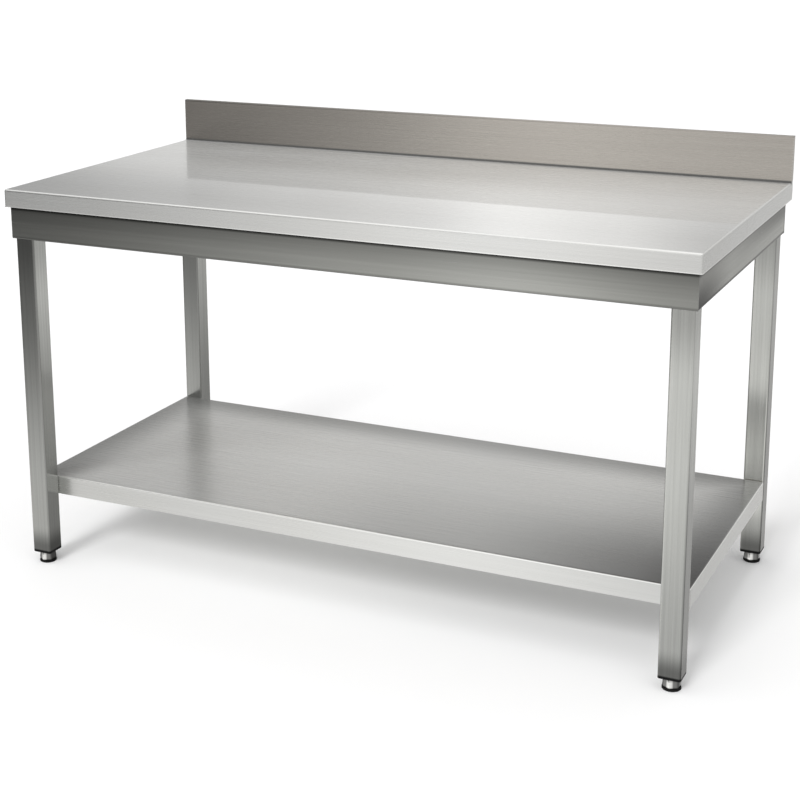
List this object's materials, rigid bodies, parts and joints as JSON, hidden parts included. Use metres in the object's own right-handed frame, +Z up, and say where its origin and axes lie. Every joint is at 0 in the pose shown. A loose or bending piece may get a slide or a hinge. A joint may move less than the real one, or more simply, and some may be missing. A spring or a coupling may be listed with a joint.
{
  "type": "stainless work table",
  "caption": "Restaurant work table: folded stainless worktop with rear upstand on a rail frame, square-tube legs, bolted undershelf and screw-adjustable levelling feet.",
  "frame": {"origin": "on the floor under the centre of the table's bounding box", "axes": "+X along the length to the right of a person standing at the front, +Y from the front edge towards the upstand, +Z up"},
  "size_m": [1.5, 0.75, 0.95],
  "materials": {
    "worktop_steel": "fine brushed along the length",
    "shelf_steel": "fine brushed along the length",
    "rail_steel": "brushed along the length, a little darker",
    "leg_steel": "brushed along the tube",
    "zinc": "bright zinc plate",
    "foot_steel": "turned and polished",
    "board": "moisture-resistant particle board with a pale laminate",
    "black_plastic": "moulded, matt",
    "foot_rubber": "matt"
  },
  "bodies": {
    "root": {"worktop_skin": "worktop_steel", "underlay_board": "board", "apron_front": "rail_steel", "apron_rear": "rail_steel", "apron_left": "rail_steel", "apron_right": "rail_steel", "cross_channel_left": "rail_steel", "cross_channel_right": "rail_steel", "top_screw_1": "zinc", "top_screw_2": "zinc", "top_screw_3": "zinc", "top_screw_4": "zinc", "top_screw_5": "zinc", "top_screw_6": "zinc", "leg_front_left": "leg_steel", "corner_bracket_front_left": "zinc", "leg_bolt_front_left_x": "zinc", "leg_bolt_front_left_y": "zinc", "leg_plug_front_left": "black_plastic", "plug_nut_front_left": "zinc", "shelf_bolt_front_left": "zinc", "leg_front_right": "leg_steel", "corner_bracket_front_right": "zinc", "leg_bolt_front_right_x": "zinc", "leg_bolt_front_right_y": "zinc", "leg_plug_front_right": "black_plastic", "plug_nut_front_right": "zinc", "shelf_bolt_front_right": "zinc", "leg_rear_left": "leg_steel", "corner_bracket_rear_left": "zinc", "leg_bolt_rear_left_x": "zinc", "leg_bolt_rear_left_y": "zinc", "leg_plug_rear_left": "black_plastic", "plug_nut_rear_left": "zinc", "shelf_bolt_rear_left": "zinc", "leg_rear_right": "leg_steel", "corner_bracket_rear_right": "zinc", "leg_bolt_rear_right_x": "zinc", "leg_bolt_rear_right_y": "zinc", "leg_plug_rear_right": "black_plastic", "plug_nut_rear_right": "zinc", "shelf_bolt_rear_right": "zinc", "shelf_tray": "shelf_steel", "shelf_channel": "shelf_steel"},
    "pad_front_left": {"foot_pad_front_left": "foot_rubber"},
    "screw_front_left": {"foot_screw_front_left": "foot_steel"},
    "pad_front_right": {"foot_pad_front_right": "foot_rubber"},
    "screw_front_right": {"foot_screw_front_right": "foot_steel"},
    "pad_rear_left": {"foot_pad_rear_left": "foot_rubber"},
    "screw_rear_left": {"foot_screw_rear_left": "foot_steel"},
    "pad_rear_right": {"foot_pad_rear_right": "foot_rubber"},
    "screw_rear_right": {"foot_screw_rear_right": "foot_steel"}
  },
  "joints": [
    {"name": "foot_lift_front_left", "type": "slide", "parent": "root", "child": "pad_front_left", "axis": [0, 0, -1], "range_m": [0, 0.025]},
    {"name": "foot_turn_front_left", "type": "hinge", "parent": "pad_front_left", "child": "screw_front_left", "pos_m": [-0.7144, -0.3364, 0.005], "axis": [0, 0, -1], "range_deg": [0, 6000]},
    {"name": "foot_lift_front_right", "type": "slide", "parent": "root", "child": "pad_front_right", "axis": [0, 0, -1], "range_m": [0, 0.025]},
    {"name": "foot_turn_front_right", "type": "hinge", "parent": "pad_front_right", "child": "screw_front_right", "pos_m": [0.7144, -0.3364, 0.005], "axis": [0, 0, -1], "range_deg": [0, 6000]},
    {"name": "foot_lift_rear_left", "type": "slide", "parent": "root", "child": "pad_rear_left", "axis": [0, 0, -1], "range_m": [0, 0.025]},
    {"name": "foot_turn_rear_left", "type": "hinge", "parent": "pad_rear_left", "child": "screw_rear_left", "pos_m": [-0.7144, 0.3234, 0.005], "axis": [0, 0, -1], "range_deg": [0, 6000]},
    {"name": "foot_lift_rear_right", "type": "slide", "parent": "root", "child": "pad_rear_right", "axis": [0, 0, -1], "range_m": [0, 0.025]},
    {"name": "foot_turn_rear_right", "type": "hinge", "parent": "pad_rear_right", "child": "screw_rear_right", "pos_m": [0.7144, 0.3234, 0.005], "axis": [0, 0, -1], "range_deg": [0, 6000]}
  ],
  "couplings": [
    {"joint": "foot_turn_front_left", "follows": "foot_lift_front_left", "rad_per_m": 4188.8},
    {"joint": "foot_turn_front_right", "follows": "foot_lift_front_right", "rad_per_m": 4188.8},
    {"joint": "foot_turn_rear_left", "follows": "foot_lift_rear_left", "rad_per_m": 4188.8},
    {"joint": "foot_turn_rear_right", "follows": "foot_lift_rear_right", "rad_per_m": 4188.8}
  ]
}
